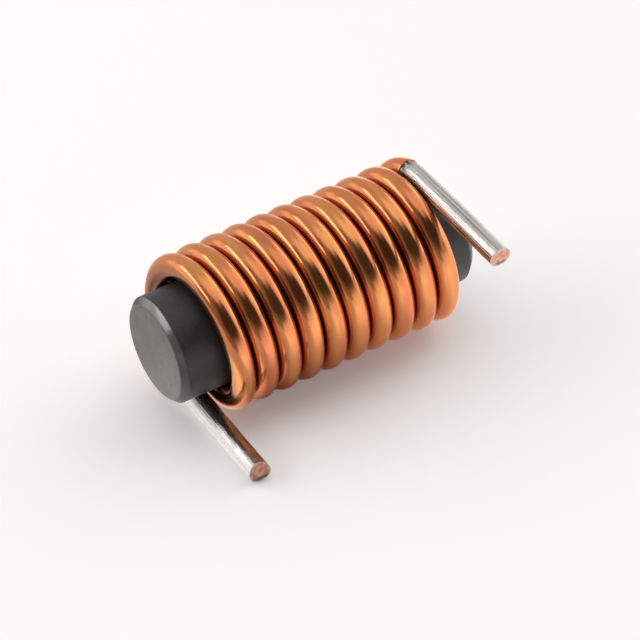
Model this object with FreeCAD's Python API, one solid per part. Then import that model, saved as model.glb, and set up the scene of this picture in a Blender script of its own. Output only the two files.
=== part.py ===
"""Rod core inductor, in millimetres, lying as it comes to rest on a flat surface.

A ferrite rod sits inside a single layer of stout enamelled copper wire.  The wire is one piece: a
right-hand helix along +X whose ends leave it towards -Y as stripped and tinned leads, lead A low at
the left end and lead B high at the right end.

Origin: middle of the footprint of the whole part, on the surface it lies on.  +Z is up.
"""
import FreeCAD, Part
import math
import os

from FreeCAD import Rotation, Vector

# Ferrite rod
ROD_DIAMETER = 5.0
ROD_LENGTH = 15.0
ROD_CHAMFER = 0.3
ROD_OVERHANG = 1.15         # how far the rod stands out of the turns at the end with lead A

# Enamelled wire and its one layer of turns
COPPER_DIAMETER = 1.0
ENAMEL_THICKNESS = 0.05
TURNS = 10.5
TURN_GAP = 0.06             # air between neighbouring turns
BORE_CLEARANCE = 0.18       # between the rod and the inside of the turns, all round
EASE_ARC = 30.0             # degrees of the last turn over which the wire swings to its lead

# Leads; their lengths start where the wire leaves the turns
TIN_THICKNESS = 0.015       # on the full-gauge pin; it thins out to nothing at the enamel
STRIPPED_ARC = 17.0         # degrees of the last turn that are stripped of enamel and tinned
HIDDEN_ARC = 6.0            # degrees that the bare wire reaches back inside its enamel
LEAD_A_LENGTH = 6.15
LEAD_B_LENGTH = 6.4
LEAD_A_SPLAY = 2.0          # degrees towards -X
LEAD_B_SPLAY = 0.0          # degrees towards +X
PIN_START = 0.25            # the full-gauge pin starts this far out from the side of the turns

# Cut tips: two facets that meet in a level ridge, each leaning back from a square cut
RIDGE_A = -0.17             # height of the ridge above the middle of lead A
UPPER_LEAN_A = 12.0
LOWER_LEAN_A = 36.0
RIDGE_B = -0.3
UPPER_LEAN_B = -10.0        # the top of this cut stands forward
LOWER_LEAN_B = 32.0

# How finely the wire's surface follows its path
STATIONS_PER_TURN = 16

# Worked out from the sizes above
ROD_RADIUS = ROD_DIAMETER / 2
COPPER_RADIUS = COPPER_DIAMETER / 2
WIRE_RADIUS = COPPER_RADIUS + ENAMEL_THICKNESS
PIN_RADIUS = COPPER_RADIUS + TIN_THICKNESS
PITCH = 2 * WIRE_RADIUS + TURN_GAP
COIL_RADIUS = ROD_RADIUS + BORE_CLEARANCE + WIRE_RADIUS
COIL_OUTER_RADIUS = COIL_RADIUS + WIRE_RADIUS

# How far the wire moves along X for each radian of the turns: in the turns, and at either lead
TURN_ADVANCE = PITCH / (2 * math.pi)
LEAD_A_ADVANCE = COIL_RADIUS * math.tan(math.radians(LEAD_A_SPLAY))
LEAD_B_ADVANCE = COIL_RADIUS * math.tan(math.radians(LEAD_B_SPLAY))

# Lead A leaves the turns this many degrees short of the bottom, so that it points down just enough for
# its tip to rest on the surface with the turns
FOOT_OF_CUT = (PIN_RADIUS + RIDGE_A) * math.tan(math.radians(LOWER_LEAN_A))
LEAD_A_DROOP = math.degrees(math.asin((WIRE_RADIUS - PIN_RADIUS) / (LEAD_A_LENGTH - FOOT_OF_CUT)))

# Places in the part's frame.  The rod's middle is at X = 0 and the turns rest at Z = 0.  Y = 0 is midway
# between the back of the turns and the top of lead B's cut, which stands furthest forward.
ROD_START_X = -ROD_LENGTH / 2
LEAD_A_X = ROD_START_X + ROD_OVERHANG + WIRE_RADIUS
AXIS_Z = COIL_OUTER_RADIUS
TOP_OF_CUT = (RIDGE_B - PIN_RADIUS) * math.tan(math.radians(UPPER_LEAN_B))
REACH_B = (LEAD_B_LENGTH + TOP_OF_CUT) * math.cos(math.radians(LEAD_B_SPLAY))
AXIS_Y = (REACH_B - COIL_OUTER_RADIUS) / 2


def ferrite_rod():
    """Plain ground rod with a chamfer round each end face, made by revolving half of its section."""
    inner = ROD_RADIUS - ROD_CHAMFER
    shoulder = ROD_LENGTH - ROD_CHAMFER
    section = [
        Vector(0, 0, 0),
        Vector(0, 0, inner),
        Vector(ROD_CHAMFER, 0, ROD_RADIUS),
        Vector(shoulder, 0, ROD_RADIUS),
        Vector(ROD_LENGTH, 0, inner),
        Vector(ROD_LENGTH, 0, 0),
    ]
    face = Part.Face(Part.makePolygon(section + section[:1]))
    rod = face.revolve(Vector(0, 0, 0), Vector(1, 0, 0), 360)
    rod.translate(Vector(ROD_START_X, AXIS_Y, AXIS_Z))
    return rod


def advance(turned):
    """How far the wire has moved along X after turning so many radians from lead A.

    It moves evenly in the turns.  Over the ease arc at either end its rate changes steadily to the
    lead's own, so the lead leaves with no kink.
    """
    total = math.radians(360 * TURNS)
    ease = math.radians(EASE_ARC)
    first = ease - min(turned, ease)
    last = max(turned - (total - ease), 0)
    missed_first = (TURN_ADVANCE - LEAD_A_ADVANCE) * (ease ** 2 - first ** 2) / (2 * ease)
    missed_last = (TURN_ADVANCE - LEAD_B_ADVANCE) * last ** 2 / (2 * ease)
    return TURN_ADVANCE * turned - missed_first - missed_last


def advance_rate(turned):
    """The rate of that movement for each radian, which sets how far the wire slants."""
    total = math.radians(360 * TURNS)
    ease = math.radians(EASE_ARC)
    first = (ease - min(turned, ease)) / ease
    last = max(turned - (total - ease), 0) / ease
    swing = (TURN_ADVANCE - LEAD_A_ADVANCE) * first + (TURN_ADVANCE - LEAD_B_ADVANCE) * last
    return TURN_ADVANCE - swing


def on_turns(degrees):
    """Middle of the wire at so many degrees of winding, its direction, and the way out of the coil."""
    turned = math.radians(degrees)
    outward = Vector(0, math.sin(turned), -math.cos(turned))
    middle = Vector(LEAD_A_X + advance(turned), AXIS_Y, AXIS_Z) + outward * COIL_RADIUS
    along = Vector(0, math.cos(turned), math.sin(turned)) * COIL_RADIUS
    along.x = advance_rate(turned)
    return middle, along.normalize(), outward


def ring(middle, along, outward, radius):
    """Control points of one circular section, the seam being where the wire faces the rod."""
    side = along.cross(outward).normalize()
    corners = ((-1, 0), (-1, -1), (0, -1), (1, -1), (1, 0), (1, 1), (0, 1), (-1, 1), (-1, 0))
    return [middle + (outward * a + side * b) * radius for a, b in corners]


def round_wire(sections):
    """Closed solid with an exact circle at each section and a smooth run from one to the next."""
    rings = [ring(*section) for section in sections]
    steps = [i / (len(rings) - 1) for i in range(len(rings))]
    tracks = []
    for points in zip(*rings):
        track = Part.BSplineCurve()
        track.interpolate(Points=list(points), Parameters=steps)
        tracks.append(track)
    poles = [list(row) for row in zip(*[track.getPoles() for track in tracks])]
    weights = [1, math.sqrt(0.5)] * 4 + [1]
    surface = Part.BSplineSurface()
    surface.buildFromPolesMultsKnots(
        poles,
        tracks[0].getMultiplicities(),
        [3, 2, 2, 2, 3],
        tracks[0].getKnots(),
        [0, 1, 2, 3, 4],
        False,
        False,
        3,
        2,
        [weights] * len(poles),
    )
    side = surface.toShape()
    caps = [Part.Face(Part.Wire([edge])) for edge in side.Edges if edge.isClosed()]
    shell = Part.makeShell([side] + caps)
    shell.sewShape()
    wire = Part.Solid(shell)
    if wire.Volume < 0:
        wire.reverse()
    return wire


def enamelled_turns():
    """The turns in their enamel, which ends short of either lead."""
    first = LEAD_A_DROOP + STRIPPED_ARC
    last = 360 * TURNS - STRIPPED_ARC
    count = round(STATIONS_PER_TURN * TURNS)
    angles = [first + (last - first) * i / count for i in range(count + 1)]
    return round_wire([on_turns(angle) + (WIRE_RADIUS,) for angle in angles])


def cut_pin(start, direction, length, ridge, upper_lean, lower_lean):
    """Straight pin of full gauge whose tip has an upper and a lower facet."""
    side = 2 * PIN_RADIUS
    upper_end = length - (side - ridge) * math.tan(math.radians(upper_lean))
    lower_end = length - (side + ridge) * math.tan(math.radians(lower_lean))
    outline = [
        Vector(0, -side, -side),
        Vector(lower_end, -side, -side),
        Vector(length, -side, ridge),
        Vector(upper_end, -side, side),
        Vector(0, -side, side),
    ]
    profile = Part.Face(Part.makePolygon(outline + outline[:1]))
    keep = profile.extrude(Vector(0, 2 * side, 0))
    keep.Placement = FreeCAD.Placement(start, Rotation(Vector(1, 0, 0), direction))
    return Part.makeCylinder(PIN_RADIUS, length + side, start, direction).common(keep)


def bare_lead(end, inward, length, ridge, upper_lean, lower_lean):
    """Stripped end of the wire: round the last of the turns, then straight out as a pin.

    The turns end at so many degrees, and going inward adds to that angle or takes from it.  The tin
    builds up from nothing at the enamel to its full thickness at the pin.
    """
    foot, along, outward = on_turns(end)
    direction = along * -inward
    straight = (COIL_OUTER_RADIUS + PIN_START) / abs(direction.y)
    arc = math.radians(STRIPPED_ARC) * COIL_RADIUS
    sections = []
    for step in range(5):
        back = HIDDEN_ARC + STRIPPED_ARC - step * (HIDDEN_ARC + STRIPPED_ARC) / 4
        covered = max(1 - back / STRIPPED_ARC, 0) * arc / (arc + straight)
        sections.append(on_turns(end + inward * back) + (COPPER_RADIUS + TIN_THICKNESS * covered,))
    for step in range(1, 7):
        covered = (arc + straight * step / 6) / (arc + straight)
        middle = foot + direction * (straight * step / 6)
        sections.append((middle, along, outward, COPPER_RADIUS + TIN_THICKNESS * covered))
    pin = cut_pin(
        foot + direction * straight, direction, length - straight, ridge, upper_lean, lower_lean
    )
    return [round_wire(sections), pin]


def wire_winding():
    """The whole wire as one solid, from the tip of lead A to the tip of lead B."""
    lead_a = bare_lead(LEAD_A_DROOP, 1, LEAD_A_LENGTH, RIDGE_A, UPPER_LEAN_A, LOWER_LEAN_A)
    lead_b = bare_lead(360 * TURNS, -1, LEAD_B_LENGTH, RIDGE_B, UPPER_LEAN_B, LOWER_LEAN_B)
    return enamelled_turns().fuse(lead_a + lead_b)


def save(name, shape):
    """Writes one node, and says how many solids it has and how large they are."""
    shape.exportStep(os.path.join("parts", name + ".step"))
    print(name, len(shape.Solids), shape.isValid(), round(shape.Volume, 3))
    print(shape.optimalBoundingBox())


os.makedirs("parts", exist_ok=True)
save("ferrite_rod", ferrite_rod())
save("wire_winding", wire_winding())
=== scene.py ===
import math

import bmesh
import bpy
import numpy as np
from mathutils import Matrix, Vector


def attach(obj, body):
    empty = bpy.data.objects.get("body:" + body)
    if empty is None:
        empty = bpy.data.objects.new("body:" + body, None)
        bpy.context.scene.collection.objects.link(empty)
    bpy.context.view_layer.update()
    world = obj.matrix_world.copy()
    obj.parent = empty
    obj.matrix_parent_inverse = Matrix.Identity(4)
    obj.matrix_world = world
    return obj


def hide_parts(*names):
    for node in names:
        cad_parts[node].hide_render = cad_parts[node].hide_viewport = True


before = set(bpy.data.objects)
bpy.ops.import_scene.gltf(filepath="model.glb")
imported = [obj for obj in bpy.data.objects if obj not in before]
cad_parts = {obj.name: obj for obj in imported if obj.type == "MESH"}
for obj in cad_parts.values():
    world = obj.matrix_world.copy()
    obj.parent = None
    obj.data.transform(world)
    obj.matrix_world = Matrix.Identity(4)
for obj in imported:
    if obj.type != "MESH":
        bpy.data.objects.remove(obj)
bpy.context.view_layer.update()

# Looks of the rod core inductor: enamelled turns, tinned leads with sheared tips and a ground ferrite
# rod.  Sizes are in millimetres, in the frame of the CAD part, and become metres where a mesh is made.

MM = 0.001

# Ferrite rod
ROD_RADIUS = 2.5
ROD_LENGTH = 15.0
ROD_CHAMFER = 0.3
ROD_EDGE_ROUNDING = 0.05
ROD_OVERHANG = 1.15                 # how far it stands out of the turns at the end with lead A

# Enamelled wire, wound on a right-hand helix about the coil's axis
COPPER_RADIUS = 0.5
ENAMEL_THICKNESS = 0.05
TURNS = 10.5
TURN_GAP = 0.06                     # air between neighbouring turns
BORE_CLEARANCE = 0.18               # between the rod and the inside of the turns, all round
EASE_ARC = math.radians(30)         # winding over which the wire swings to its lead
STRIPPED_ARC = math.radians(17)     # winding that is stripped of enamel and tinned
HIDDEN_ARC = math.radians(6)        # how far the bare wire reaches back inside its enamel
WIRE_RADIUS = COPPER_RADIUS + ENAMEL_THICKNESS
PITCH = 2 * WIRE_RADIUS + TURN_GAP
COIL_RADIUS = ROD_RADIUS + BORE_CLEARANCE + WIRE_RADIUS
COIL_OUTER_RADIUS = COIL_RADIUS + WIRE_RADIUS

# Unevenness of the winding; it grows from nothing over the settling length at either end
SETTLING_LENGTH = 2.0
PRESSED_IN = 0.08                   # towards the axis, for a ripple of 1
SLACK = 0.02                        # what every turn lies further in
SHIFTED_ALONG = 0.06                # along the axis, for a ripple of 1
HAND_SEED = 11

# Lip of the enamel at either lead
LIP_STEPS = np.array([0.0, 0.004, 0.012, 0.03, 0.06, 0.1, 0.16])    # distances from its end
LIP_ARC = 0.08                      # radians of winding up to the evenly spaced stations
LIP_ROLL = 0.08                     # length over which it rises to its full thickness
LIP_RIM = 0.01                      # how far its rim stands above the copper
LIP_TUCK = 0.02                     # how far its end reaches below the copper's surface
RAGGED_LENGTH = 0.12                # distance from the end in which its raggedness fades
RAGGED_WANDER = 0.035
RAGGED_TEETH = 0.012
TEETH_ROUND = 9
LIP_SEED = 5

# Tin on the leads
TIN_THICKNESS = 0.015               # on the full-gauge pin
TIN_UNEVENNESS = 0.006
FADE_AT_ENAMEL = 0.3                # length over which the unevenness starts
FADE_AT_TIP = 0.5                   # and over which it ends
TIN_GROWTH = 0.7                    # power of the way to the pin with which the tin builds up
SCRAPED_DEPTH = 0.006               # what stripping took off the copper
PIN_START = 0.25                    # the full-gauge pin starts this far out from the turns
PIN_RADIUS = COPPER_RADIUS + TIN_THICKNESS
LAST_RING = 0.02                    # distance of the last ring but one from the tip

# Leads.  The end is where the lead leaves the turns, inward is the way back along them, and the length
# runs from there to a cut with two facets.  They meet in a level ridge at a height from the middle of
# the lead, and lean back from a square cut, or forward where the angle is negative.
LEAD_A = {
    "end": math.radians(0.33993),   # it droops by as much, so that its tip is down with the turns
    "inward": 1,
    "length": 6.15,
    "ridge": -0.17,
    "upper_lean": math.radians(12),
    "lower_lean": math.radians(16),
    "seed": 3,
}
LEAD_B = {
    "end": math.tau * TURNS,
    "inward": -1,
    "length": 6.4,
    "ridge": -0.3,
    "upper_lean": math.radians(-10),
    "lower_lean": math.radians(12),
    "seed": 8,
}
LEAD_A_SPLAY = math.radians(2)      # towards -X; lead B stands square to the axis

# How far the wire moves along X for each radian of winding: in the turns, and at either lead
TURN_ADVANCE = PITCH / math.tau
LEAD_A_ADVANCE = COIL_RADIUS * math.tan(LEAD_A_SPLAY)
LEAD_B_ADVANCE = 0.0

# Places in the part's frame.  The rod's middle is at X = 0 and the turns rest at Z = 0.  Y = 0 is midway
# between the back of the turns and the top of lead B's cut.
ROD_START_X = -ROD_LENGTH / 2
ROD_END_X = ROD_LENGTH / 2
LEAD_A_X = ROD_START_X + ROD_OVERHANG + WIRE_RADIUS
LEAD_B_REACH = LEAD_B["length"] + (LEAD_B["ridge"] - PIN_RADIUS) * math.tan(LEAD_B["upper_lean"])
AXIS_Y = (LEAD_B_REACH - COIL_OUTER_RADIUS) / 2
AXIS_Z = COIL_OUTER_RADIUS

# How finely the surfaces are divided
ROD_STEPS_ROUND = 160
ROUNDING_STEPS = 5
WIRE_STEPS_ROUND = 64
STATIONS_PER_TURN = 110
STRIPPED_STATIONS = 34
PIN_STATIONS = 90
PIN_CROWDING = 0.95                 # below 1, the stations of a pin crowd towards its tip
HALF_TIP_STEPS = 24
CUT_STEPS = 15


# Surfaces

def closed_grid(points):
    """Quads between neighbouring points of a grid of rows and columns, in which each row is a ring."""
    rows, columns = points.shape[:2]
    index = np.arange(rows * columns).reshape(rows, columns)
    after = np.roll(index, -1, axis=1)
    return np.stack([index[:-1], after[:-1], after[1:], index[1:]], axis=-1).reshape(-1, 4)


def open_grid(points):
    """Quads between neighbouring points of a grid that closes in neither direction."""
    rows, columns = points.shape[:2]
    index = np.arange(rows * columns).reshape(rows, columns)
    corners = [index[:-1, :-1], index[:-1, 1:], index[1:, 1:], index[1:, :-1]]
    return np.stack(corners, axis=-1).reshape(-1, 4)


def build_piece(name, patches, materials):
    """One mesh object from patches of its surface, welded where they meet.

    A patch holds points in mm, quads, a material's number where it isn't 0, smooth where it is false, and
    a place: three numbers for each point, kept as the attribute wire_place for the materials.
    """
    counts = [len(patch["quads"]) for patch in patches]
    starts = np.cumsum([0] + [patch["points"].size // 3 for patch in patches[:-1]])
    points = np.concatenate([patch["points"].reshape(-1, 3) for patch in patches])
    places = np.concatenate([patch["place"].reshape(-1, 3) for patch in patches])
    quads = np.concatenate([patch["quads"] + start for patch, start in zip(patches, starts)])
    slots = np.repeat([patch.get("slot", 0) for patch in patches], counts)
    smooth = np.repeat([patch.get("smooth", True) for patch in patches], counts)
    mesh = bpy.data.meshes.new(name)
    mesh.from_pydata(points * MM, [], quads.tolist())
    mesh.polygons.foreach_set("material_index", slots.astype(np.int32))
    mesh.polygons.foreach_set("use_smooth", smooth)
    place = mesh.attributes.new("wire_place", "FLOAT_VECTOR", "POINT")
    place.data.foreach_set("vector", places.astype(np.float32).ravel())
    weld(mesh)
    for material in materials:
        mesh.materials.append(material)
    piece = bpy.data.objects.new(name, mesh)
    bpy.context.scene.collection.objects.link(piece)
    return piece


def weld(mesh):
    """Joins points that lie on each other, so poles and the lines between patches are closed."""
    work = bmesh.new()
    work.from_mesh(mesh)
    bmesh.ops.remove_doubles(work, verts=work.verts, dist=2e-7)
    bmesh.ops.dissolve_degenerate(work, edges=work.edges, dist=1e-8)
    bmesh.ops.recalc_face_normals(work, faces=work.faces)
    work.to_mesh(mesh)
    work.free()
    mesh.update()


# The ferrite rod

def rounded_corners(corners, rounding):
    """A profile through the corners, each replaced by a short curve that starts and ends `rounding` away.

    The curve is (1-t)^2 P + 2t(1-t) C + t^2 Q, with C the corner and P and Q the points beside it.
    """
    corners = np.array(corners, float)
    before = corners[:-2] - corners[1:-1]
    after = corners[2:] - corners[1:-1]
    before *= rounding / np.linalg.norm(before, axis=1, keepdims=True)
    after *= rounding / np.linalg.norm(after, axis=1, keepdims=True)
    t = np.linspace(0, 1, ROUNDING_STEPS)[None, :, None]
    corner = corners[1:-1, None, :]
    start = corner + before[:, None]
    end = corner + after[:, None]
    bends = (1 - t) ** 2 * start + 2 * t * (1 - t) * corner + t ** 2 * end
    return np.concatenate([corners[:1], bends.reshape(-1, 2), corners[-1:]])


def ferrite_rod_piece(materials):
    """The rod: a profile of place along the axis and radius, turned round the axis.

    Point = (x, axis y + r sin a, axis z + r cos a), for each (x, r) of the profile and angle a.  Its
    place is the same point measured from the axis.
    """
    inner = ROD_RADIUS - ROD_CHAMFER
    near = [(ROD_START_X, 0.0), (ROD_START_X, inner), (ROD_START_X + ROD_CHAMFER, ROD_RADIUS)]
    far = [(ROD_END_X - ROD_CHAMFER, ROD_RADIUS), (ROD_END_X, inner), (ROD_END_X, 0.0)]
    profile = rounded_corners(near + far, ROD_EDGE_ROUNDING)
    angle = np.linspace(0, math.tau, ROD_STEPS_ROUND, endpoint=False)
    x = np.repeat(profile[:, :1], len(angle), axis=1)
    place = np.stack([x, profile[:, 1:] * np.sin(angle), profile[:, 1:] * np.cos(angle)], axis=-1)
    points = place + np.array([0.0, AXIS_Y, AXIS_Z])
    side = {"points": points, "quads": closed_grid(points), "place": place}
    return build_piece("ferrite_rod_ground", [side], materials)


# The wire

def advance(turned):
    """How far the wire has moved along X by each angle of winding.

    It moves evenly in the turns.  Over the ease arc at either end its rate changes steadily to the
    lead's own.
    """
    ease_out = math.tau * TURNS - EASE_ARC
    first = EASE_ARC - np.minimum(turned, EASE_ARC)
    last = np.maximum(turned - ease_out, 0)
    missed_first = (TURN_ADVANCE - LEAD_A_ADVANCE) * (EASE_ARC ** 2 - first ** 2) / (2 * EASE_ARC)
    missed_last = (TURN_ADVANCE - LEAD_B_ADVANCE) * last ** 2 / (2 * EASE_ARC)
    return TURN_ADVANCE * turned - missed_first - missed_last


def advance_rate(turned):
    """The rate of that movement, for each radian of winding."""
    ease_out = math.tau * TURNS - EASE_ARC
    first = (EASE_ARC - np.minimum(turned, EASE_ARC)) / EASE_ARC
    last = np.maximum(turned - ease_out, 0) / EASE_ARC
    swing_first = (TURN_ADVANCE - LEAD_A_ADVANCE) * first
    swing_last = (TURN_ADVANCE - LEAD_B_ADVANCE) * last
    return TURN_ADVANCE - swing_first - swing_last


def on_turns(turned):
    """Middle of the wire at each angle of winding, its direction, and the way out of the coil, as rows.

    Middle = (x of lead A + advance, axis y + R sin a, axis z - R cos a), with R the coil's radius.
    """
    turned = np.asarray(turned, float)
    none = np.zeros_like(turned)
    outward = np.stack([none, np.sin(turned), -np.cos(turned)], axis=-1)
    sideways, rise = COIL_RADIUS * np.cos(turned), COIL_RADIUS * np.sin(turned)
    along = np.stack([advance_rate(turned), sideways, rise], axis=-1)
    along /= np.linalg.norm(along, axis=-1, keepdims=True)
    middle = outward * COIL_RADIUS + np.array([LEAD_A_X, AXIS_Y, AXIS_Z])
    middle[..., 0] += advance(turned)
    return middle, along, outward


def wire_surface(middle, along, outward, radius, angle, travelled):
    """Round wire carried along a path, as a grid of points and the place of each.

    Point = middle + radius (outward cos a + side sin a), with side = along x outward.  The place of a
    point is how far it has travelled along the wire, then cos a and sin a.
    """
    side = np.cross(along, outward)
    side /= np.linalg.norm(side, axis=-1, keepdims=True)
    cos, sin = np.cos(angle)[None, :, None], np.sin(angle)[None, :, None]
    radius = np.broadcast_to(radius, (len(middle), len(angle)))[..., None]
    points = middle[:, None] + radius * (outward[:, None] * cos + side[:, None] * sin)
    place = np.stack(np.broadcast_arrays(travelled, np.cos(angle), np.sin(angle)), axis=-1)
    return points, place


def ripple(travelled, angle, seed, waves=7, slow=0.9):
    """A gentle unevenness between -1 and 1, for each distance along a wire and each angle round it.

    It is the mean of some waves, each with a whole number of crests round the wire.
    """
    draw = np.random.default_rng(seed)
    total = np.zeros((len(travelled), len(angle)))
    for _ in range(waves):
        around = draw.integers(0, 4)
        rate = draw.uniform(-slow, slow) * 2
        phase = draw.uniform(0, math.tau, 2)
        total += np.sin(around * angle[None, :] + phase[0]) * np.sin(rate * travelled[:, None] + phase[1])
    return total / waves


def wound_by_hand(turned, from_end):
    """How far the middle of the wire strays outwards, which is never above 0, and along the axis.

    Both follow a ripple along the wire, read at two angles that have nothing to do with each other.
    """
    settled = np.clip(from_end / SETTLING_LENGTH, 0, 1)
    hand = ripple(turned * COIL_RADIUS, np.array([0.0, 1.5]), HAND_SEED, waves=9, slow=0.8)
    outwards = np.minimum(PRESSED_IN * hand[:, 0] - SLACK, 0)
    return settled * outwards, settled * SHIFTED_ALONG * hand[:, 1]


def enamel_radius(from_end):
    """The wire's radius, which drops to the rim of the lip by a quarter of an ellipse at either end.

    The first and the last ring lie below the copper's surface, so that the lip closes on it.
    """
    fall = np.clip(from_end / LIP_ROLL, 0, 1)
    rim = COPPER_RADIUS + LIP_RIM
    radius = rim + (WIRE_RADIUS - rim) * np.sqrt(1 - (1 - fall) ** 2)
    radius[[0, -1]] = COPPER_RADIUS - LIP_TUCK
    return radius


def enamel_piece(materials):
    """The turns in their enamel, from stripped end to stripped end, with a rolled and ragged lip at each.

    The lip's points are pushed along the wire by a ripple and by even teeth, less with each step inwards.
    """
    first, last = LEAD_A["end"] + STRIPPED_ARC, LEAD_B["end"] - STRIPPED_ARC
    lip = LIP_STEPS / COIL_RADIUS
    body = np.linspace(first + LIP_ARC, last - LIP_ARC, int(TURNS * STATIONS_PER_TURN))
    turned = np.concatenate([[first], first + lip, body, last - lip[::-1], [last]])
    from_end = np.minimum(turned - first, last - turned) * COIL_RADIUS
    angle = np.linspace(0, math.tau, WIRE_STEPS_ROUND, endpoint=False)
    radius = enamel_radius(from_end)[:, None]
    middle, along, outward = on_turns(turned)
    outwards, sideways = wound_by_hand(turned, from_end)
    middle += outwards[:, None] * outward
    middle[:, 0] += sideways
    travelled = (turned * COIL_RADIUS)[:, None]
    points, place = wire_surface(middle, along, outward, radius, angle, travelled)
    near = np.exp(-from_end / RAGGED_LENGTH)[:, None]
    wander = ripple(np.zeros(1), angle, LIP_SEED, waves=9)[0]
    ragged = RAGGED_WANDER * wander + RAGGED_TEETH * np.sin(TEETH_ROUND * angle)
    into = np.where(turned < (first + last) / 2, 1.0, -1.0)[:, None]
    points += (near * into * ragged[None, :])[..., None] * along[:, None]
    turns = {"points": points, "quads": closed_grid(points), "place": place}
    caps = [disc_patch(points[row], place[row]) for row in (0, -1)]
    return build_piece("enamelled_turns", [turns] + caps, materials)


def disc_patch(ring, place):
    """A flat disc inside a ring: the ring, and its middle repeated, so that the quads close to a pole."""
    middle = np.broadcast_to(ring.mean(axis=0), ring.shape)
    points = np.stack([ring, middle])
    places = np.stack([place, np.broadcast_to(place.mean(axis=0), place.shape)])
    return {"points": points, "quads": closed_grid(points), "place": places}


def tip_profile(height, lead):
    """How far out the cut reaches at each height: two facets that lean back from a level ridge."""
    above = lead["length"] - (height - lead["ridge"]) * math.tan(lead["upper_lean"])
    below = lead["length"] - (lead["ridge"] - height) * math.tan(lead["lower_lean"])
    return np.where(height > lead["ridge"], above, below)


def tip_angles(ridge, up):
    """Angles round the lead, and which of them is at the ridge.

    They are evenly spread on each side of the ridge, so that a pair of points lies on it.
    """
    at_ridge = math.acos(up * ridge / PIN_RADIUS)
    before = max(round(HALF_TIP_STEPS * at_ridge / math.pi), 2)
    to_ridge = np.linspace(0, at_ridge, before + 1)
    past_ridge = np.linspace(at_ridge, math.pi, HALF_TIP_STEPS + 1 - before)[1:]
    half = np.concatenate([to_ridge, past_ridge])
    return np.concatenate([half, math.tau - half[-2:0:-1]]), before


def tin_radius(along_wire, angle, lead):
    """Radius of the tinned wire, from the scraped copper's at the enamel to the pin's.

    A ripple takes a little off it, except at the enamel and at the tip.
    """
    stripped = STRIPPED_ARC * COIL_RADIUS
    from_enamel = along_wire + stripped
    built_up = np.clip(from_enamel / (stripped + COIL_OUTER_RADIUS + PIN_START), 0, 1)
    scraped = COPPER_RADIUS - SCRAPED_DEPTH
    radius = scraped + (PIN_RADIUS - scraped) * built_up ** TIN_GROWTH
    uneven = ripple(along_wire, angle, lead["seed"]) - 1
    from_tip = lead["length"] - along_wire
    fade = np.clip(from_enamel / FADE_AT_ENAMEL, 0, 1) * np.clip(from_tip / FADE_AT_TIP, 0, 1)
    return radius[:, None] + TIN_UNEVENNESS * uneven * fade[:, None]


def lead_piece(name, lead, materials):
    """A stripped and tinned end of the wire: round the last of the turns, then straight out to its tip.

    Every ring of the straight part is a square one, pushed along the lead at each point by its share of
    what the cut adds or takes at that height, so that the last ring is the rim of the cut.
    """
    end, inward = lead["end"], lead["inward"]
    up = -1.0 if inward > 0 else 1.0
    foot, toward, outward_end = (value[0] for value in on_turns([end]))
    direction = -inward * toward
    angle, ridge_row = tip_angles(lead["ridge"], up)
    reach = tip_profile(up * np.cos(angle) * PIN_RADIUS, lead)
    back = np.linspace(HIDDEN_ARC + STRIPPED_ARC, 0, STRIPPED_STATIONS)
    share = np.linspace(0, 1, PIN_STATIONS)[1:-1] ** PIN_CROWDING
    share = np.concatenate([share, [1 - LAST_RING / lead["length"], 1.0]])[:, None]
    on_arc = np.repeat(-back[:, None] * COIL_RADIUS, len(angle), axis=1)
    travelled = np.concatenate([on_arc, share * reach])
    middle, along, outward = on_turns(end + inward * back)
    middle = np.concatenate([middle, foot + direction * (share * lead["length"])])
    along = np.concatenate([along, np.repeat(toward[None], len(share), axis=0)])
    outward = np.concatenate([outward, np.repeat(outward_end[None], len(share), axis=0)])
    radius = tin_radius(travelled.mean(axis=1), angle, lead)
    points, place = wire_surface(middle, along, outward, radius, angle, travelled)
    points[len(back):] += (share * (reach - lead["length"]))[..., None] * direction
    tin = {"points": points, "quads": closed_grid(points), "place": place}
    cuts = cut_patches(points[-1], foot, direction, ridge_row, up)
    return build_piece(name, [tin, disc_patch(points[0], place[0])] + cuts, materials)


def cut_patches(rim, foot, direction, ridge_row, up):
    """The sheared face in two patches that meet in the ridge.

    Each row runs straight across the cut between the two points of the rim at one height.  The place of a
    point is how far out it is, then its height and its distance sideways from the middle of the lead.
    """
    half = len(rim) // 2
    right = rim[: half + 1]
    left = np.concatenate([rim[:1], rim[:half - 1:-1]])
    t = np.linspace(0, 1, CUT_STEPS)[None, :, None]
    points = left[:, None] * (1 - t) + right[:, None] * t
    from_foot = points - foot
    out = from_foot @ direction
    height = from_foot[..., 2] - out * direction[2]
    place = np.stack([out, height, from_foot @ np.cross(direction, [0, 0, 1])], axis=-1)
    patches = []
    for rows, below in ((slice(0, ridge_row + 1), up < 0), (slice(ridge_row, None), up > 0)):
        patches.append({
            "points": points[rows],
            "quads": open_grid(points[rows]),
            "place": place[rows],
            # slot 2, the lower facet, takes the copper darkened as painted shade
            "slot": 2 if below else 1,
            "smooth": False,
        })
    return patches


# Nodes

def link(tree, start, end):
    """Joins an output to an input."""
    tree.links.new(start, end)


def feed(tree, value, socket):
    """Joins an input to value where that is an output, or else sets it to value, a number or a colour."""
    if isinstance(value, bpy.types.NodeSocket):
        link(tree, value, socket)
    elif socket.type == "RGBA":
        socket.default_value = (*value, 1.0)
    else:
        socket.default_value = value


def add(tree, kind, **values):
    """A node with some of its settings and inputs given by name; a name with spaces uses underscores."""
    made = tree.nodes.new(kind)
    for name, value in values.items():
        if hasattr(made, name):
            setattr(made, name, value)
        else:
            made.inputs[name.replace("_", " ")].default_value = value
    return made


def calculate(tree, operation, first, second=0.0):
    """A Math node's result from one or two values, each an output or a number."""
    made = add(tree, "ShaderNodeMath", operation=operation)
    feed(tree, first, made.inputs[0])
    feed(tree, second, made.inputs[1])
    return made.outputs["Value"]


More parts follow.
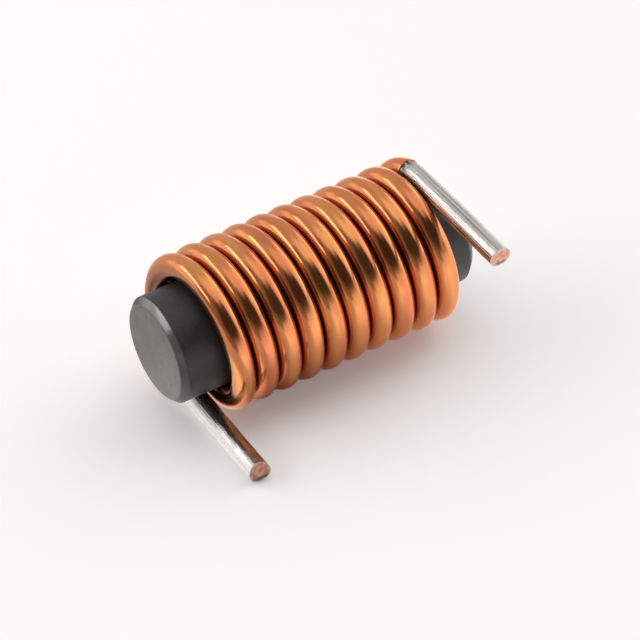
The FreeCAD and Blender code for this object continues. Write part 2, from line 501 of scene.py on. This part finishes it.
def measure(tree, operation, vector, other=(0.0, 0.0, 0.0)):
    """One number from a vector: its length, or its dot product with another, or its distance to it."""
    made = add(tree, "ShaderNodeVectorMath", operation=operation)
    link(tree, vector, made.inputs[0])
    made.inputs[1].default_value = other
    return made.outputs["Value"]


def remap(tree, source, low, high, to_low, to_high):
    """source carried smoothly from one range to another, and held at its ends."""
    made = add(tree, "ShaderNodeMapRange", interpolation_type="SMOOTHSTEP", clamp=True)
    made.inputs["From Min"].default_value = low
    made.inputs["From Max"].default_value = high
    made.inputs["To Min"].default_value = to_low
    made.inputs["To Max"].default_value = to_high
    link(tree, source, made.inputs["Value"])
    return made.outputs["Result"]


def colour_steps(tree, source, stops):
    """A colour ramp driven by source, with stops of (place, colour)."""
    ramp = add(tree, "ShaderNodeValToRGB")
    while len(ramp.color_ramp.elements) < len(stops):
        ramp.color_ramp.elements.new(0.5)
    for element, (place, colour) in zip(ramp.color_ramp.elements, stops):
        element.position = place
        element.color = (*colour, 1.0)
    link(tree, source, ramp.inputs["Fac"])
    return ramp.outputs["Color"]


def colour_socket(sockets, name):
    """The colour among a Mix node's sockets of one name."""
    return next(socket for socket in sockets if socket.name == name and socket.type == "RGBA")


def mix_colour(tree, share, first, second):
    """first where share is 0 and second where it is 1; a colour is an output or three numbers."""
    made = add(tree, "ShaderNodeMix", data_type="RGBA")
    link(tree, share, made.inputs["Factor"])
    feed(tree, first, colour_socket(made.inputs, "A"))
    feed(tree, second, colour_socket(made.inputs, "B"))
    return colour_socket(made.outputs, "Result")


def wire_place(tree):
    """The attribute that the pieces carry: place along the wire, then round it."""
    return add(tree, "ShaderNodeAttribute", attribute_name="wire_place").outputs["Vector"]


def object_place(tree):
    """The point's place in the part's frame, in metres."""
    return add(tree, "ShaderNodeTexCoord").outputs["Object"]


def split(tree, vector):
    """The three numbers of a vector, as outputs X, Y and Z."""
    made = add(tree, "ShaderNodeSeparateXYZ")
    link(tree, vector, made.inputs["Vector"])
    return made.outputs


def new_group(name, inputs, outputs):
    """An empty shader group with its named number inputs and outputs."""
    group = bpy.data.node_groups.new(name, "ShaderNodeTree")
    for socket, value in inputs.items():
        made = group.interface.new_socket(socket, in_out="INPUT", socket_type="NodeSocketFloat")
        made.default_value = value
    for socket in outputs:
        group.interface.new_socket(socket, in_out="OUTPUT", socket_type="NodeSocketFloat")
    return group, group.nodes.new("NodeGroupInput"), group.nodes.new("NodeGroupOutput")


def drawn_wire_group():
    """Marks of drawing and handling on a wire.

    Streaks is noise that is long along the wire and short round it: Along and Around are its crests for
    each millimetre and for each radian.  Waves is a fine noise that runs the same way in all directions.
    """
    inputs = {"Along": 0.3, "Around": 6.0, "Detail": 3.0}
    group, given, out = new_group("drawn wire", inputs, ["Streaks", "Waves"])
    scale = add(group, "ShaderNodeCombineXYZ")
    for name, axis in (("Along", "X"), ("Around", "Y"), ("Around", "Z")):
        link(group, given.outputs[name], scale.inputs[axis])
    stretched = add(group, "ShaderNodeVectorMath", operation="MULTIPLY")
    link(group, wire_place(group), stretched.inputs[0])
    link(group, scale.outputs["Vector"], stretched.inputs[1])
    streaks = add(group, "ShaderNodeTexNoise", Scale=1.0, Roughness=0.55)
    link(group, stretched.outputs["Vector"], streaks.inputs["Vector"])
    link(group, given.outputs["Detail"], streaks.inputs["Detail"])
    waves = add(group, "ShaderNodeTexNoise", Scale=950.0, Detail=1.0)
    link(group, object_place(group), waves.inputs["Vector"])
    link(group, streaks.outputs["Fac"], out.inputs["Streaks"])
    link(group, waves.outputs["Fac"], out.inputs["Waves"])
    return group


def specks_group():
    """Small scattered spots: cells of noise, of which only the middles of a few are kept."""
    group, given, out = new_group("specks", {"Per metre": 3000.0, "Share": 0.1}, ["Mask"])
    cells = add(group, "ShaderNodeTexVoronoi", feature="F1")
    link(group, object_place(group), cells.inputs["Vector"])
    link(group, given.outputs["Per metre"], cells.inputs["Scale"])
    pick = add(group, "ShaderNodeSeparateColor")
    link(group, cells.outputs["Color"], pick.inputs["Color"])
    few = calculate(group, "LESS_THAN", pick.outputs["Red"], given.outputs["Share"])
    spot = remap(group, cells.outputs["Distance"], 0.12, 0.3, 1.0, 0.0)
    link(group, calculate(group, "MULTIPLY", few, spot), out.inputs["Mask"])
    return group


def use_group(tree, group, **values):
    """The outputs of a group placed in a material with its own values."""
    made = tree.nodes.new("ShaderNodeGroup")
    made.node_tree = group
    for name, value in values.items():
        made.inputs[name.replace("_", " ")].default_value = value
    return made.outputs


def new_material(name, **finish):
    """A material whose shader starts with some plain values, given by name."""
    material = bpy.data.materials.new(name)
    material.use_nodes = True
    tree = material.node_tree
    tree.nodes.clear()
    shader = add(tree, "ShaderNodeBsdfPrincipled", **finish)
    output = add(tree, "ShaderNodeOutputMaterial")
    link(tree, shader.outputs["BSDF"], output.inputs["Surface"])
    return material, tree, shader


def bump(tree, shader, height, distance, strength):
    """Relief of so many millimetres from a height between 0 and 1."""
    made = add(tree, "ShaderNodeBump", Strength=strength, Distance=distance * MM)
    link(tree, height, made.inputs["Height"])
    link(tree, made.outputs["Normal"], shader.inputs["Normal"])


# Finishes

ENAMEL_TINT = (1.0, 0.56, 0.34, 1.0)        # what the edge of the metal mirrors through the enamel
# The next two colours are painted shade: where a turn faces its neighbour, and on the inside of the turns
# towards the rod.
PAINTED_SHADE_BETWEEN_TURNS = (0.34, 0.145, 0.08)         # where a turn faces its neighbour
PAINTED_SHADE_TOWARDS_ROD = (0.07, 0.035, 0.02)
DULL_TIN = (0.30, 0.275, 0.26)
BURNT_FLUX = (0.045, 0.035, 0.03)
SMEARED_TIN = (0.50, 0.44, 0.41)
CUT_COPPER = ((0.42, 0.17, 0.11), (0.60, 0.29, 0.20), (0.74, 0.44, 0.34))
# Copper of the lower facet of each cut: darker than the upper facet's as painted shade, as that facet
# faces down
LOWER_FACET_SHADED_COPPER = ((0.11, 0.07, 0.055), (0.24, 0.135, 0.10), (0.40, 0.24, 0.18))
RUBBED_FERRITE = (0.035, 0.031, 0.028)
CLOUDED_FERRITE = (0.060, 0.053, 0.048)
PITTED_FERRITE = (0.012, 0.010, 0.009)
POLISHED_TOWARDS = (0.0, -0.31, 0.95)       # the side of the rod's chamfers that is rubbed to a shine


def enamelled_copper(drawn):
    """Copper seen through amber enamel: a warm metal under a clear coat, with faint lengthwise streaks.

    Painted shade darkens it round the wire, by the share of the way that a point faces out of the coil.
    """
    material, tree, shader = new_material(
        "enamelled_copper", Metallic=0.92, Specular_Tint=ENAMEL_TINT,
        Coat_Weight=0.7, Coat_Roughness=0.12, Coat_IOR=1.45,
    )
    marks = use_group(tree, drawn, Along=0.22, Around=1.3, Detail=1.0)
    copper = colour_steps(tree, marks["Streaks"], [
        (0.32, (0.59, 0.160, 0.055)), (0.5, (0.64, 0.203, 0.062)), (0.68, (0.69, 0.262, 0.072)),
    ])
    facing_out = split(tree, wire_place(tree))["Y"]
    # Painted shade: darker where a turn faces its neighbour and, more, on the inside towards the rod.
    painted_groove_shade = remap(tree, facing_out, 0.30, 0.58, 0.65, 0.0)
    inside = remap(tree, facing_out, -0.4, 0.05, 0.85, 0.0)
    outer = mix_colour(tree, painted_groove_shade, copper, PAINTED_SHADE_BETWEEN_TURNS)
    link(tree, mix_colour(tree, inside, outer, PAINTED_SHADE_TOWARDS_ROD), shader.inputs["Base Color"])
    link(tree, remap(tree, marks["Waves"], 0.35, 0.65, 0.15, 0.20), shader.inputs["Roughness"])
    bump(tree, shader, marks["Waves"], 0.05, 0.45)
    return material


def tinned_copper(drawn, specks):
    """Dipped tin: dull silver with darker lengthwise lines, a wavy surface, a few spots and a burnt edge.

    The burnt patches lie within about half a millimetre of the enamel.
    """
    material, tree, shader = new_material("tinned_copper", Metallic=1.0)
    lines = use_group(tree, drawn, Along=0.13, Around=8.0, Detail=3.0)
    ripples = use_group(tree, drawn, Along=1.6, Around=2.0, Detail=3.0)
    dull = use_group(tree, specks, Per_metre=2600.0, Share=0.07)
    tin = colour_steps(tree, lines["Streaks"], [
        (0.36, (0.32, 0.295, 0.28)), (0.47, (0.49, 0.46, 0.44)), (0.6, (0.63, 0.60, 0.578)),
    ])
    spotted = mix_colour(tree, dull["Mask"], tin, DULL_TIN)
    travelled = split(tree, wire_place(tree))["X"]
    edge = -STRIPPED_ARC * COIL_RADIUS
    near_enamel = remap(tree, travelled, edge + 0.05, edge + 0.6, 1.0, 0.0)
    patchy = remap(tree, ripples["Streaks"], 0.42, 0.52, 0.0, 1.0)
    burnt = calculate(tree, "MULTIPLY", near_enamel, patchy)
    link(tree, mix_colour(tree, burnt, spotted, BURNT_FLUX), shader.inputs["Base Color"])
    link(tree, remap(tree, ripples["Streaks"], 0.35, 0.7, 0.16, 0.34), shader.inputs["Roughness"])
    relief = calculate(tree, "ADD", ripples["Streaks"], lines["Streaks"])
    bump(tree, shader, relief, 0.03, 0.75)
    return material


def sheared_copper(name, drawn, colours, roughness):
    """Bare copper where the cutter went through, with drag lines and tin smeared round its rim.

    The smear starts at an uneven distance from the middle of the lead, close to the pin's radius.
    """
    material, tree, shader = new_material(name, Metallic=0.8)
    marks = use_group(tree, drawn, Along=9.0, Around=5.0, Detail=4.0)
    copper = colour_steps(tree, marks["Streaks"], list(zip((0.32, 0.52, 0.74), colours)))
    across = add(tree, "ShaderNodeVectorMath", operation="MULTIPLY")
    link(tree, wire_place(tree), across.inputs[0])
    across.inputs[1].default_value = (0.0, 1.0, 1.0)
    from_middle = measure(tree, "LENGTH", across.outputs["Vector"])
    uneven = calculate(tree, "MULTIPLY", marks["Streaks"], 0.22)
    smear = remap(tree, calculate(tree, "ADD", from_middle, uneven), 0.52, 0.58, 0.0, 0.8)
    link(tree, mix_colour(tree, smear, copper, SMEARED_TIN), shader.inputs["Base Color"])
    rough = remap(tree, marks["Streaks"], 0.3, 0.7, roughness - 0.08, roughness + 0.08)
    link(tree, rough, shader.inputs["Roughness"])
    bump(tree, shader, marks["Streaks"], 0.02, 0.5)
    return material


def ground_ferrite(specks):
    """Charcoal ceramic: a dark pressed side, paler ground ends, and chamfers that are rubbed smooth.

    Which of the three it is depends on the distance from the rod's middle. The ends' paleness is partly
    painted light.
    """
    material, tree, shader = new_material("ground_ferrite", Coat_Roughness=0.22, Coat_IOR=1.9, IOR=1.52)
    place = object_place(tree)
    grain = add(tree, "ShaderNodeTexNoise", Scale=11000.0, Detail=5.0, Roughness=0.65)
    cloud = add(tree, "ShaderNodeTexNoise", Scale=1100.0, Detail=3.0)
    link(tree, place, grain.inputs["Vector"])
    link(tree, place, cloud.inputs["Vector"])
    pits = use_group(tree, specks, Per_metre=5200.0, Share=0.02)
    side = colour_steps(tree, grain.outputs["Fac"], [
        (0.3, (0.013, 0.0108, 0.0098)), (0.5, (0.021, 0.0175, 0.016)), (0.72, (0.033, 0.028, 0.0255)),
    ])
    # Paler ends: partly the ground finish, partly painted light.
    end = colour_steps(tree, grain.outputs["Fac"], [
        (0.3, (0.11, 0.099, 0.089)), (0.5, (0.165, 0.150, 0.136)), (0.72, (0.24, 0.22, 0.20)),
    ])
    from_middle = calculate(tree, "ABSOLUTE", split(tree, place)["X"])
    shoulder = ROD_END_X - ROD_CHAMFER
    face = remap(tree, from_middle, (ROD_END_X - 0.06) * MM, (ROD_END_X - 0.01) * MM, 0.0, 1.0)
    corner = remap(tree, from_middle, (shoulder - 0.03) * MM, (shoulder + 0.05) * MM, 0.0, 1.0)
    rubbed = calculate(tree, "SUBTRACT", corner, face)
    body = mix_colour(tree, face, mix_colour(tree, rubbed, side, RUBBED_FERRITE), end)
    cloudy = remap(tree, cloud.outputs["Fac"], 0.4, 0.7, 0.0, 0.3)
    clouded = mix_colour(tree, cloudy, body, CLOUDED_FERRITE)
    pitted = mix_colour(tree, pits["Mask"], clouded, PITTED_FERRITE)
    link(tree, pitted, shader.inputs["Base Color"])
    link(tree, remap(tree, grain.outputs["Fac"], 0.35, 0.7, 0.44, 0.6), shader.inputs["Roughness"])
    upper = measure(tree, "DOT_PRODUCT", wire_place(tree), POLISHED_TOWARDS)
    polished = calculate(tree, "MULTIPLY", rubbed, remap(tree, upper, 1.1, 2.1, 0.0, 1.0))
    link(tree, polished, shader.inputs["Coat Weight"])
    bump(tree, shader, grain.outputs["Fac"], 0.010, 0.3)
    return material


# The studio

# The view, worked out by fitting the part's outline to the photograph's
VIEW_AZIMUTH = math.radians(-28.885)
VIEW_ELEVATION = math.radians(40.572)
VIEW_ROLL = math.radians(-3.815)
VIEW_DISTANCE = 226.2
PICTURE_PIXELS = 640
PIXELS_PER_MM = 22.735
AIM_PIXEL = (307.7, 286.2)          # where the middle of the coil's axis falls in the picture
SENSOR_WIDTH = 36.0

# The floor.  For the metal that mirrors it, it glows: in front of the part, the more so further from it,
# and in round spots with a middle, a distance within which they are full, one where they end, and a level.
FLOOR_RADIUS = 600.0
FLOOR_SIDES = 96
FLOOR_DROP = 0.02                   # keeps its surface just clear of the turns
FLOOR_LIFT = 0.16                   # added where it is seen directly
GLOW_TOWARDS = (0.91, -0.42, 0.0)
GLOW_EDGE = (-2.0, 6.0)             # places in that direction between which it fades in
GLOW_NEAR = 4.5                     # distance from the middle up to which it has its first level
GLOW_FAR = 9.5                      # and from which it has its second
GLOW_LEVELS = (0.30, 0.70)
GLOW_SPOTS = (
    ((6.0, -25.0), 4.0, 15.0, 0.5),
    ((-9.3, -0.4), 3.6, 6.2, 0.9),
)

# The room: how bright its back and top are, then panels with their span of azimuth and of elevation in
# degrees, how soft their edge is, and how bright they are
ROOM_BACK = 0.80
ROOM_TOP = 1.35
ROOM_PANELS = (
    ((54, 122), (-25, 72), 10, 1.36),
    ((72, 126), (-25, 30), 8, 2.2),
    ((-12, 46), (-40, 11), 9, 1.45),
    ((-168, -116), (-14, 17), 6, 1.45),
    ((-108, -14), (-20, 40), 10, 0.34),
    ((-108, -58), (-6, 58), 10, 0.28),
    ((-64, 50), (14, 67), 10, 0.03),
)


def make_camera():
    """Camera at the photograph's angle, moved sideways so that the coil falls where it does there."""
    azimuth, elevation = VIEW_AZIMUTH, VIEW_ELEVATION
    level = Vector((math.cos(azimuth), math.sin(azimuth), 0))
    behind = Vector((math.sin(azimuth), -math.cos(azimuth), 0))
    back = behind * math.cos(elevation) + Vector((0, 0, math.sin(elevation)))
    upright = back.cross(level)
    right = level * math.cos(VIEW_ROLL) + upright * math.sin(VIEW_ROLL)
    up = upright * math.cos(VIEW_ROLL) - level * math.sin(VIEW_ROLL)
    middle = Vector((LEAD_A_X + PITCH * TURNS / 2, AXIS_Y, AXIS_Z))
    middle += right * ((PICTURE_PIXELS / 2 - AIM_PIXEL[0]) / PIXELS_PER_MM)
    middle += up * ((AIM_PIXEL[1] - PICTURE_PIXELS / 2) / PIXELS_PER_MM)
    data = bpy.data.cameras.new("camera")
    data.sensor_width = SENSOR_WIDTH
    data.lens = PIXELS_PER_MM * VIEW_DISTANCE / PICTURE_PIXELS * SENSOR_WIDTH
    data.clip_start = 0.001
    data.clip_end = 10.0
    camera = bpy.data.objects.new("camera", data)
    turn = Matrix((right, up, back)).transposed().to_4x4()
    camera.matrix_world = Matrix.Translation((middle + back * VIEW_DISTANCE) * MM) @ turn
    bpy.context.scene.collection.objects.link(camera)
    bpy.context.scene.camera = camera


def floor_glow(tree):
    """How brightly the floor glows for the metal: in front of the part by distance, plus the spots."""
    place = object_place(tree)
    forward = measure(tree, "DOT_PRODUCT", place, GLOW_TOWARDS)
    away = measure(tree, "LENGTH", place)
    in_front = remap(tree, forward, GLOW_EDGE[0] * MM, GLOW_EDGE[1] * MM, 0.0, 1.0)
    apart = remap(tree, away, GLOW_NEAR * MM, GLOW_FAR * MM, *GLOW_LEVELS)
    glow = calculate(tree, "MULTIPLY", in_front, apart)
    for (x, y), full, ends, level in GLOW_SPOTS:
        from_spot = measure(tree, "DISTANCE", place, (x * MM, y * MM, 0.0))
        spot = remap(tree, from_spot, full * MM, ends * MM, level, 0.0)
        glow = calculate(tree, "ADD", glow, spot)
    return glow


def make_floor():
    """A pale round floor, wide enough to reach past every view."""
    angle = np.linspace(0, math.tau, FLOOR_SIDES, endpoint=False)
    ring = np.stack([np.cos(angle), np.sin(angle), np.zeros_like(angle)], axis=-1) * FLOOR_RADIUS * MM
    mesh = bpy.data.meshes.new("floor")
    mesh.from_pydata(ring.tolist(), [], [list(range(len(angle)))])
    floor = bpy.data.objects.new("floor", mesh)
    bpy.context.scene.collection.objects.link(floor)
    floor.location.z = -FLOOR_DROP * MM
    material, tree, shader = new_material(
        "pale_floor", Base_Color=(0.93, 0.93, 0.93, 1.0), Roughness=0.9,
        Specular_IOR_Level=0.1, Emission_Strength=1.0,
    )
    rays = add(tree, "ShaderNodeLightPath")
    seen = calculate(tree, "MULTIPLY", rays.outputs["Is Camera Ray"], FLOOR_LIFT)
    mirrored = calculate(tree, "MULTIPLY", rays.outputs["Is Glossy Ray"], floor_glow(tree))
    link(tree, calculate(tree, "ADD", seen, mirrored), shader.inputs["Emission Color"])
    mesh.materials.append(material)


def room_panel(tree, azimuth, elevation, sides, levels, edge):
    """1 inside a soft-edged panel of the room and 0 outside it, for its span of azimuth and of elevation.

    All angles are in degrees; azimuth is 0 towards -Y and grows towards +X.
    """
    inside = 1.0
    for angle, (low, high) in ((azimuth, sides), (elevation, levels)):
        rising = remap(tree, angle, low - edge, low + edge, 0.0, 1.0)
        falling = remap(tree, angle, high - edge, high + edge, 1.0, 0.0)
        inside = calculate(tree, "MULTIPLY", calculate(tree, "MULTIPLY", inside, rising), falling)
    return inside


def make_world():
    """A white room, as a table-top studio has it: panels of its wall are brighter or darker than the rest.

    Each panel in turn takes the place of the light before it: light (1 - inside) + level x inside.  Seen
    directly the room is plain white.
    """
    world = bpy.data.worlds.new("studio")
    world.use_nodes = True
    tree = world.node_tree
    tree.nodes.clear()
    place = split(tree, add(tree, "ShaderNodeTexCoord").outputs["Generated"])
    forward = calculate(tree, "MULTIPLY", place["Y"], -1.0)
    azimuth = calculate(tree, "DEGREES", calculate(tree, "ARCTAN2", place["X"], forward))
    elevation = calculate(tree, "DEGREES", calculate(tree, "ARCSINE", place["Z"]))
    light = remap(tree, elevation, 58.0, 76.0, ROOM_BACK, ROOM_TOP)
    for sides, levels, edge, level in ROOM_PANELS:
        inside = room_panel(tree, azimuth, elevation, sides, levels, edge)
        kept = calculate(tree, "MULTIPLY", light, calculate(tree, "SUBTRACT", 1.0, inside))
        light = calculate(tree, "ADD", kept, calculate(tree, "MULTIPLY", inside, level))
    lit = add(tree, "ShaderNodeBackground", Color=(1.0, 0.985, 0.97, 1.0))
    link(tree, light, lit.inputs["Strength"])
    white = add(tree, "ShaderNodeBackground", Color=(1.0, 1.0, 1.0, 1.0), Strength=1.0)
    rays = add(tree, "ShaderNodeLightPath")
    choose = add(tree, "ShaderNodeMixShader")
    link(tree, rays.outputs["Is Camera Ray"], choose.inputs["Fac"])
    link(tree, lit.outputs["Background"], choose.inputs[1])
    link(tree, white.outputs["Background"], choose.inputs[2])
    output = add(tree, "ShaderNodeOutputWorld")
    link(tree, choose.outputs["Shader"], output.inputs["Surface"])
    bpy.context.scene.world = world


def softbox(name, direction, distance, width, height, watts):
    """A rectangular lamp that faces the object from a direction; its lengths are in millimetres."""
    data = bpy.data.lights.new(name, "AREA")
    data.shape = "RECTANGLE"
    data.size = width * MM
    data.size_y = height * MM
    data.energy = watts
    lamp = bpy.data.objects.new(name, data)
    away = Vector(direction).normalized()
    turn = away.to_track_quat("Z", "Y").to_matrix().to_4x4()
    lamp.matrix_world = Matrix.Translation(away * distance * MM) @ turn
    bpy.context.scene.collection.objects.link(lamp)


# Putting it together

drawn = drawn_wire_group()
specks = specks_group()
enamel = enamelled_copper(drawn)
tin = tinned_copper(drawn, specks)
bare = sheared_copper("sheared_copper", drawn, CUT_COPPER, 0.40)
# The lower facets' copper: painted shade makes it darker than the upper facets', and it is rougher.
lower_facet_shade = sheared_copper("lower_facet_shaded_copper", drawn, LOWER_FACET_SHADED_COPPER, 0.52)

rod = ferrite_rod_piece([ground_ferrite(specks)])
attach(rod, "root")
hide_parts("ferrite_rod")
for piece in (
    enamel_piece([enamel]),
    lead_piece("tinned_lead_a", LEAD_A, [tin, bare, lower_facet_shade]),
    lead_piece("tinned_lead_b", LEAD_B, [tin, bare, lower_facet_shade]),
):
    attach(piece, "root")
    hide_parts("wire_winding")

make_floor()
make_world()
softbox(
    "key_softbox", direction=(-0.727, 0.454, 0.515), distance=300, width=310, height=60, watts=0.22
)
make_camera()

scene = bpy.context.scene
scene.view_settings.view_transform = "Standard"
